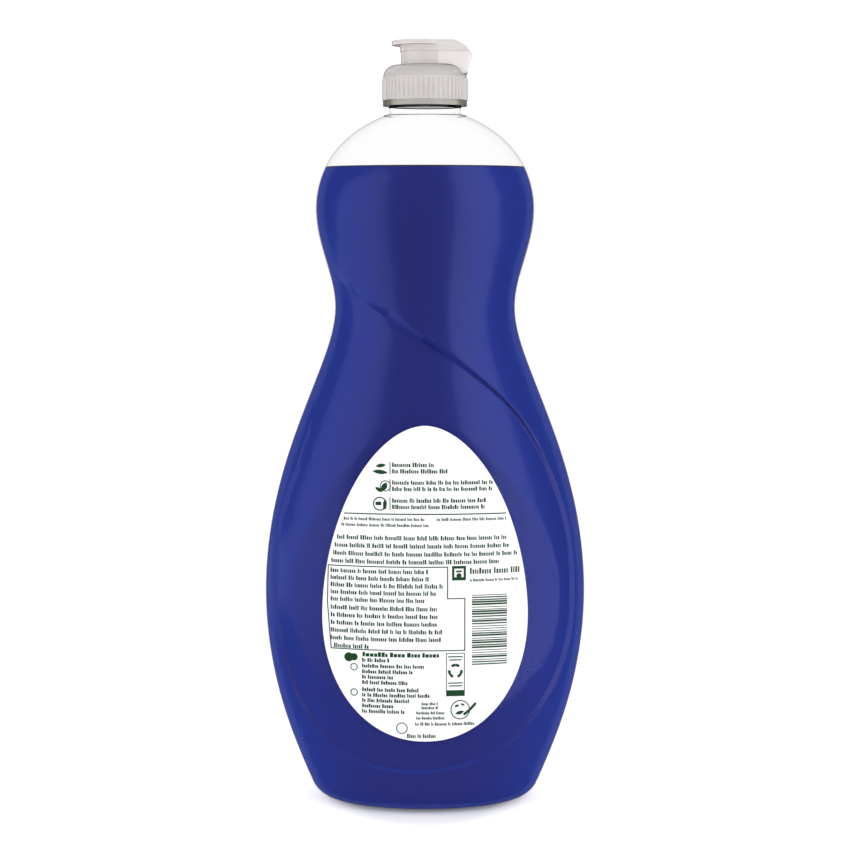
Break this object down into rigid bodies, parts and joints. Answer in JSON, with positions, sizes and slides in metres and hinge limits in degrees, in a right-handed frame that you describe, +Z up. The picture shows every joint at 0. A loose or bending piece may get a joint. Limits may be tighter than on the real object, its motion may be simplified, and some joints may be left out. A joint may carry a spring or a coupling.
{
  "type": "degreaser bottle",
  "caption": "Waisted clear squeeze bottle of blue degreaser with a recessed swoosh on both faces, a wrapped paper label and a screw closure with a flip-top lid.",
  "frame": {"origin": "centre of the base, on the plane the bottle stands on", "axes": "+Z up along the bottle, -Y towards the labelled face, +X towards the lid's hinge"},
  "size_m": [0.1148, 0.0667, 0.2698],
  "materials": {
    "bottle": "clear, glossy",
    "liquid": "clear deep blue liquid",
    "label": "satin paper",
    "liner": "matte",
    "closure": "translucent, satin"
  },
  "bodies": {
    "bottle": {"bottle": "bottle", "liquid": "liquid", "back_label": "label"},
    "washer": {"cap_liner": "liner"},
    "cap": {"cap_base": "closure"},
    "lid": {"flip_lid": "closure"}
  },
  "joints": [
    {"name": "cap_lift", "type": "slide", "parent": "bottle", "child": "washer", "axis": [0, 0, 1], "range_m": [0, 0.0141]},
    {"name": "cap_turn", "type": "hinge", "parent": "washer", "child": "cap", "pos_m": [0, 0, 0.2572], "axis": [0, 0, 1], "range_deg": [0, 400]},
    {"name": "lid_flip", "type": "hinge", "parent": "cap", "child": "lid", "pos_m": [0.01465, 0, 0.2583], "axis": [0, 1, 0], "range_deg": [0, 135]}
  ],
  "couplings": [
    {"joint": "cap_turn", "follows": "cap_lift", "rad_per_m": 494.74}
  ]
}
